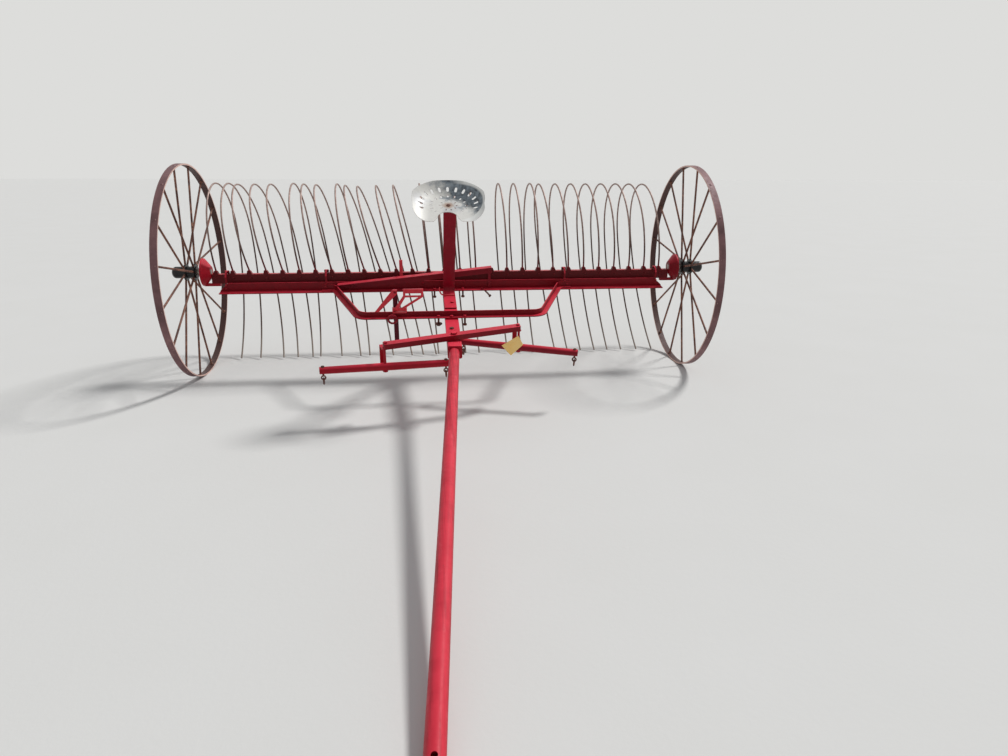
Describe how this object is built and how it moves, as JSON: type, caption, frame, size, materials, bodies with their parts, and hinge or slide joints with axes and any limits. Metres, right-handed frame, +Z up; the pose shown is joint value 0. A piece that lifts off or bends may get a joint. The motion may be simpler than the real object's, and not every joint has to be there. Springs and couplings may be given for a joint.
{
  "type": "dump rake",
  "caption": "Horse-drawn dump rake with two spoked steel wheels, a tilting rake head of curved spring tines, an angle-iron frame, a pole, a pan seat and an evener with singletrees.",
  "frame": {"origin": "on the ground, below the centre of the bounding box", "axes": "+X along the axle to the picture's right, +Y from the pole's tip towards the tines, +Z up"},
  "size_m": [3.598, 4.2452, 1.372],
  "materials": {
    "frame_paint": "weathered gloss",
    "seat_paint": "worn",
    "rim_steel": "rusty",
    "hub_paint": "gloss",
    "tine_steel": "rusty brown",
    "axle_steel": "worn bright"
  },
  "bodies": {
    "frame": {"brace_spacer": "frame_paint", "butt_clamps": "frame_paint", "diagonal_stay": "frame_paint", "evener_pin": "frame_paint", "foot_pedal": "frame_paint", "frame_beam": "frame_paint", "front_brace": "frame_paint", "hinge_arms": "frame_paint", "pedal_bracket": "frame_paint", "pole": "frame_paint", "pole_butt": "frame_paint", "pole_collar": "frame_paint", "seat_boss": "frame_paint", "seat_pan": "seat_paint", "seat_spring": "frame_paint", "trip_rod": "frame_paint", "trip_strut": "frame_paint"},
    "rake_head": {"head_beam": "frame_paint", "tine_holders": "frame_paint", "tines_left": "tine_steel", "tines_right": "tine_steel", "hinge_ears": "frame_paint", "hinge_pins": "frame_paint", "trip_lug": "frame_paint", "end_casting_left": "frame_paint", "end_casting_right": "frame_paint", "stub_axle_left": "axle_steel", "stub_axle_right": "axle_steel"},
    "wheel_left": {"rim_left": "rim_steel", "spokes_left": "rim_steel", "hub_left": "hub_paint", "hub_cap_left": "hub_paint"},
    "wheel_right": {"rim_right": "rim_steel", "spokes_right": "rim_steel", "hub_right": "hub_paint", "hub_cap_right": "hub_paint"},
    "evener": {"evener_bar": "frame_paint", "singletree_hanger_left": "frame_paint", "singletree_hanger_right": "frame_paint"},
    "singletree_left": {"singletree_left": "frame_paint"},
    "singletree_right": {"singletree_right": "frame_paint"}
  },
  "joints": [
    {"name": "head_dump", "type": "hinge", "parent": "frame", "child": "rake_head", "pos_m": [0, 1.43526, 0.686], "axis": [1, 0, 0], "range_deg": [0, 50]},
    {"name": "left_wheel_spin", "type": "hinge", "parent": "rake_head", "child": "wheel_left", "pos_m": [-1.661, 1.43526, 0.686], "axis": [1, 0, 0], "continuous": true},
    {"name": "right_wheel_spin", "type": "hinge", "parent": "rake_head", "child": "wheel_right", "pos_m": [1.661, 1.43526, 0.686], "axis": [1, 0, 0], "continuous": true},
    {"name": "evener_swing", "type": "hinge", "parent": "frame", "child": "evener", "pos_m": [0.006, 0.4765, 0.43359], "axis": [0, -0.143, 0.9897], "range_deg": [-42, 8]},
    {"name": "left_singletree_swing", "type": "hinge", "parent": "evener", "child": "singletree_left", "pos_m": [-0.37652, 0.37631, 0.30919], "axis": [0, -0.143, 0.9897], "range_deg": [-13, 37]},
    {"name": "right_singletree_swing", "type": "hinge", "parent": "evener", "child": "singletree_right", "pos_m": [0.38852, 0.60781, 0.34264], "axis": [0, -0.143, 0.9897], "range_deg": [-7, 60]}
  ]
}
